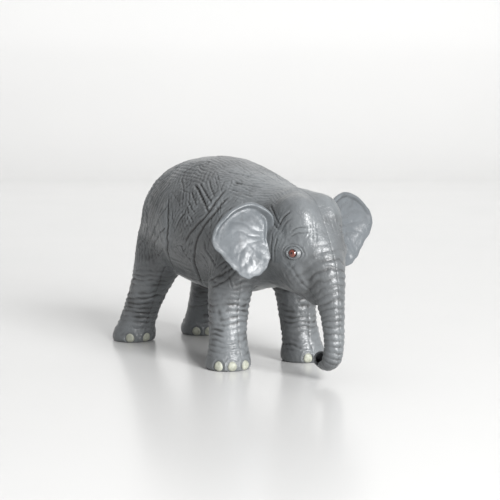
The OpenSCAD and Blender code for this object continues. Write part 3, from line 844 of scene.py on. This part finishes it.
def nail(name, rows, side, angle, surface):
    """One domed toenail on a foot: it lies on the skin and stands a little proud of it."""
    cx, cy, _, _, r = rows[1]
    cy = side * abs(cy)
    rings = []
    for e in np.linspace(1.0, 0.04, 9):
        ring = []
        for turn in np.linspace(0, 2 * np.pi, 28, endpoint=False):
            t = NAIL_HALF_W * e * math.cos(turn) * (1 - 0.12 * math.sin(turn))
            z = NAIL_MID_Z + NAIL_HALF_H * e * math.sin(turn)
            a = math.radians(angle) + t / r
            ray = Vector((math.cos(a), -side * math.sin(a), 0))
            hit = surface.ray_cast(Vector((cx, cy, z)) + ray * 8, ray)[0]
            hit = hit if hit is not None else Vector((cx, cy, z)) + ray * r
            proud = -0.1 + 0.8 * max(1 - e * e, 0) ** 0.4
            ring.append(hit + ray * proud)
        rings.append(ring)
    points, faces = loft(np.array([[list(p) for p in ring] for ring in rings]))
    if side > 0:
        faces = [tuple(reversed(f)) for f in faces]
    piece = add_mesh(name, [(points, faces[1:])])
    smooth(piece, 80)
    return piece


# ---- materials ----
class Value:
    """A shader socket that takes part in sums."""

    def __init__(self, shader, socket):
        self.shader, self.socket = shader, socket

    def _sum(self, how, first, second):
        return self.shader.node("ShaderNodeMath", {"operation": how}, {0: first, 1: second})

    def __add__(self, other):
        return self._sum("ADD", self, other)

    def __radd__(self, other):
        return self._sum("ADD", other, self)

    def __sub__(self, other):
        return self._sum("SUBTRACT", self, other)

    def __mul__(self, other):
        return self._sum("MULTIPLY", self, other)

    def __rmul__(self, other):
        return self._sum("MULTIPLY", other, self)


class Shader:
    """A material and the one method that adds a node to it."""

    def __init__(self, name):
        self.material = bpy.data.materials.new(name)
        self.material.use_nodes = True
        self.tree = self.material.node_tree
        self.tree.nodes.clear()

    def node(self, kind, settings=None, sockets=None, out=0):
        made = self.tree.nodes.new(kind)
        for key, value in (settings or {}).items():
            setattr(made, key, value)
        for key, value in (sockets or {}).items():
            if isinstance(value, Value):
                self.tree.links.new(value.socket, made.inputs[key])
            else:
                made.inputs[key].default_value = value
        return Value(self, made.outputs[out])

    def mix(self, share, first, second):
        settings = {"data_type": "RGBA", "clamp_factor": True}
        return self.node("ShaderNodeMix", settings, {0: share, 6: first, 7: second}, out=2)

    def clamp(self, value, low, high):
        """0 at low, 1 at high, and smooth between them."""
        return self.node("ShaderNodeMapRange", {"clamp": True, "interpolation_type": "SMOOTHSTEP"},
                         {0: value, 1: low, 2: high, 3: 0.0, 4: 1.0})

    def place(self):
        return self.node("ShaderNodeTexCoord", out="Object")

    def stored(self, name):
        return self.node("ShaderNodeAttribute", {"attribute_name": name}, out="Fac")

    def noise(self, scale, detail):
        return self.node("ShaderNodeTexNoise", {}, {"Vector": self.place(), "Scale": scale,
                                                    "Detail": detail, "Roughness": 0.55})

    def cells(self, scale):
        return self.node("ShaderNodeTexVoronoi", {"feature": "DISTANCE_TO_EDGE"},
                         {"Vector": self.place(), "Scale": scale})

    def bump(self, height, distance, strength):
        return self.node("ShaderNodeBump", {}, {"Height": height, "Distance": distance,
                                                "Strength": strength}, out="Normal")

    def finish(self, **sockets):
        """Ends the material with a surface whose sockets have these values."""
        names = {key.replace("_", " ").title().replace("Ior", "IOR"): v for key, v in sockets.items()}
        surface = self.node("ShaderNodeBsdfPrincipled", {}, names)
        made = self.tree.nodes.new("ShaderNodeOutputMaterial")
        self.tree.links.new(surface.socket, made.inputs["Surface"])
        return self.material


def rgb(r, g, b):
    return (r, g, b, 1.0)


def grey_skin(name, light, mid, dark, gloss, wrinkly=1.0):
    """Moulded grey plastic: dull in the creases, with painted shade darkening the creases and the inner
    faces, and a painted highlight lightening the folds.
    """
    s = Shader(name)
    relief = s.stored("relief")
    crease = s.clamp(relief, -0.08, -0.75)
    rise = s.clamp(relief, 0.02, 0.4)
    cloud = s.noise(22.0, 4.0)
    mottle = s.noise(140.0, 4.0)
    grain = s.noise(1500.0, 3.0)
    crackle = s.cells(520.0)
    colour = s.mix(s.clamp(cloud, 0.35, 0.68), mid, light)
    colour = s.mix(s.clamp(mottle, 0.52, 0.75) * 0.3, colour, dark)
    # painted highlight: the raised folds are lightened as if they catch the light
    colour = s.mix(rise * 0.35, colour, light)
    # painted shade: the creases are darkened where shadow falls into them
    colour = s.mix(crease * 0.8, colour, dark)
    # painted shade: the inner faces, such as the hollow in the trunk's tip, are made near-black
    colour = s.mix(s.stored("inside") * 0.9, colour, rgb(0.012, 0.012, 0.011))
    rough = gloss + 0.16 * crease + 0.14 * (mottle - 0.5) + 0.05 * grain - 0.04 * rise
    height = 0.55 * grain + 0.45 * mottle + wrinkly * 0.5 * s.clamp(crackle, 0.0, 0.14)
    return s.finish(base_color=colour, roughness=rough, normal=s.bump(height, 0.00022, 0.6),
                    coat_weight=0.15, coat_roughness=0.2, specular_ior_level=0.5)


def nail_paint(name):
    """Cream paint, brushed on by hand over the grey."""
    s = Shader(name)
    brushed = s.noise(420.0, 4.0)
    thin = s.clamp(s.noise(700.0, 5.0), 0.60, 0.72)
    colour = s.mix(s.clamp(brushed, 0.3, 0.7), rgb(0.42, 0.43, 0.36), rgb(0.27, 0.28, 0.23))
    colour = s.mix(thin * 0.7, colour, rgb(0.22, 0.22, 0.21))
    rough = 0.38 + 0.2 * brushed
    return s.finish(base_color=colour, roughness=rough, normal=s.bump(brushed, 0.0001, 0.4))


def eye_bead(name, side):
    """A dark brown bead with a darker pupil, painted by distance from where the eye looks."""
    s = Shader(name)
    look = EYE_LOOK * [1, -side, 1]
    front = (eye_centre() * [1, -side, 1] + 2.2 * look) * MM
    apart = s.node("ShaderNodeVectorMath", {"operation": "DISTANCE"},
                   {0: s.place(), 1: tuple(front)}, out="Value")
    ring = s.clamp(apart, 0.0008, 0.0012)
    edge = s.clamp(apart, 0.0021, 0.0027)
    streak = s.noise(900.0, 3.0)
    iris = s.mix(streak, rgb(0.06, 0.012, 0.008), rgb(0.2, 0.05, 0.03))
    colour = s.mix(ring, rgb(0.006, 0.005, 0.005), iris)
    colour = s.mix(edge, colour, rgb(0.03, 0.02, 0.018))
    return s.finish(base_color=colour, roughness=0.06 + 0.05 * streak, coat_weight=1.0,
                    coat_roughness=0.03)


def stopper_rubber(name):
    """Black rubber with dust on it."""
    s = Shader(name)
    dust = s.clamp(s.noise(160.0, 5.0), 0.5, 0.75)
    grain = s.noise(2200.0, 3.0)
    colour = s.mix(dust * 0.5, rgb(0.018, 0.018, 0.02), rgb(0.06, 0.058, 0.055))
    return s.finish(base_color=colour, roughness=0.46 + 0.18 * dust + 0.06 * grain,
                    normal=s.bump(grain, 0.00008, 0.5))


def floor_finish(name):
    """Pale glossy board."""
    s = Shader(name)
    cloud = s.noise(2.5, 3.0)
    colour = s.mix(cloud, rgb(0.66, 0.66, 0.655), rgb(0.69, 0.688, 0.682))
    return s.finish(base_color=colour, roughness=0.2 + 0.06 * cloud, specular_ior_level=0.35)


# ---- putting it together ----
def finish_piece(piece, body, slot, material, *nodes):
    """Paints a piece, puts it on its body, and lets it take the place of CAD nodes."""
    piece.data.materials.clear()
    piece.data.materials.append(material)
    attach(piece, body)
    if nodes:
        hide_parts(*nodes)


# the skin's tones; LIGHT is also the painted highlight on the folds and DARK the painted shade in the
# creases
LIGHT, MID, DARK = rgb(0.162, 0.174, 0.182), rgb(0.1, 0.106, 0.11), rgb(0.022, 0.021, 0.02)
skin_material = grey_skin("grey_skin", LIGHT, MID, DARK, 0.3)
EAR_LIGHT, EAR_MID_GREY = rgb(0.16, 0.175, 0.187), rgb(0.115, 0.126, 0.135)
ear_material = grey_skin("grey_ear", EAR_LIGHT, EAR_MID_GREY, DARK, 0.27, 0.5)
tail_material = grey_skin("grey_tail", MID, rgb(0.062, 0.067, 0.072), DARK, 0.38)
paint = nail_paint("nail_paint")
rubber = stopper_rubber("stopper_rubber")
collar_material = grey_skin("grey_collar", LIGHT, MID, DARK, 0.45, 0.2)

skin, skin_points, fine = shape_skin()
surface = surface_of(skin.data, skin_points)
for foot, side, rows, nails in FEET:
    word = "right" if side < 0 else "left"
    for k, (angle, painted) in enumerate(nails.items()):
        piece = nail(f"{word}_{foot}_nail_{k + 1}", rows, side, angle, surface)
        if painted:
            finish_piece(piece, "bank", "nail_paint", paint)
        else:
            finish_piece(piece, "bank", "grey_skin", skin_material)
hollow_out(skin)
for node, piece in split_shells(skin, skin_points, fine).items():
    finish_piece(piece, "bank", "grey_skin", skin_material, node)
finish_piece(ear("right_ear_piece", -1, 0, -3, 3, 0.5), "bank", "grey_skin", ear_material, "right_ear")
finish_piece(ear("left_ear_piece", 1, 5, -1, 8, 0.9), "bank", "grey_skin", ear_material, "left_ear")
finish_piece(tail(), "bank", "grey_skin", tail_material, "tail")


def plastic_part(node, body, slot, material, bevel):
    """A turned or moulded part in its CAD shape, with its edges broken."""
    piece = bpy.data.objects.new(node + "_piece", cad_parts[node].data.copy())
    bpy.context.scene.collection.objects.link(piece)
    modify(piece, "WELD", merge_threshold=0.00001)
    modify(piece, "BEVEL", width=bevel * MM, segments=3, limit_method="ANGLE",
           angle_limit=math.radians(35), harden_normals=False)
    smooth(piece, 35)
    finish_piece(piece, body, slot, material, node)


plastic_part("stopper_collar", "bank", "grey_skin", collar_material, 0.25)
plastic_part("coin_stopper", "stopper", "stopper_rubber", rubber, 0.35)
for node, side in (("right_eye", -1), ("left_eye", 1)):
    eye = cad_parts[node]
    eye.data.materials.clear()
    eye.data.materials.append(eye_bead(node + "_bead", side))


# ---- floor, light and camera, in metres ----
CAMERA_TURN, CAMERA_LIFT, CAMERA_FAR = math.radians(-31.98), math.radians(6.48), 1.1
CAMERA_TARGET = np.array([0.01082, 0, 0.0716])
SENSOR, LENS = 36.0, 122.688


def studio():
    """A floor that curves up into a wall behind the elephant, square to the camera."""
    depth, rise, radius = 1.6, 1.5, 0.5
    profile = [(4.0, 0.0), (-depth, 0.0)]
    turn = np.linspace(0, np.pi / 2, 13)[1:]
    profile += [(-depth - radius * math.sin(a), radius * (1 - math.cos(a))) for a in turn]
    profile.append((-depth - radius, rise))
    ahead = np.array([math.cos(CAMERA_TURN), math.sin(CAMERA_TURN)])
    across = np.array([-ahead[1], ahead[0]])
    points = []
    for far, up in profile:
        for wide in (-4.0, 4.0):
            x, y = ahead * far + across * wide
            points.append((x, y, up))
    faces = [(2 * i, 2 * i + 2, 2 * i + 3, 2 * i + 1) for i in range(len(profile) - 1)]
    floor = add_mesh("floor", [(np.array(points), faces)], 1.0)
    floor.data.shade_smooth()
    floor.data.materials.append(floor_finish("pale_floor"))


def aim(thing, place, target):
    """Puts a light or camera at a place, pointed at the target."""
    thing.location = place
    thing.rotation_euler = (Vector(target) - Vector(place)).to_track_quat("-Z", "Y").to_euler()


def softbox(name, place, target, size, power):
    """A white area light; its size in metres, its power in watts."""
    light = bpy.data.lights.new(name, "AREA")
    light.shape = "RECTANGLE"
    light.size, light.size_y = size
    light.energy = power
    box = bpy.data.objects.new(name, light)
    bpy.context.scene.collection.objects.link(box)
    aim(box, place, target)


def camera():
    """A long lens a little above the elephant's eye, off its right shoulder."""
    lens = bpy.data.cameras.new("camera")
    lens.sensor_width = SENSOR
    lens.lens = LENS
    lens.clip_end = 20
    view = bpy.data.objects.new("camera", lens)
    bpy.context.scene.collection.objects.link(view)
    level = math.cos(CAMERA_LIFT)
    away = np.array([math.cos(CAMERA_TURN) * level, math.sin(CAMERA_TURN) * level, math.sin(CAMERA_LIFT)])
    aim(view, CAMERA_TARGET + away * CAMERA_FAR, CAMERA_TARGET)
    bpy.context.scene.camera = view


studio()
softbox("ahead", (2.5, -0.05, 1.05), (0, 0, 0.06), (1.2, 1.4), 132)
softbox("overhead", (-0.9, 0.5, 1.9), (-0.4, 0.25, 0), (2.2, 2.2), 10)
softbox("backdrop", (-1.0, 0.6, 1.5), (-1.9, 1.15, 0.4), (1.6, 0.8), 7)
world = bpy.data.worlds.new("studio_world")
world.use_nodes = True
background = world.node_tree.nodes["Background"]
background.inputs["Color"].default_value = (1, 1, 1, 1)
background.inputs["Strength"].default_value = 0.39
bpy.context.scene.world = world
bpy.context.scene.view_settings.view_transform = "Standard"
camera()
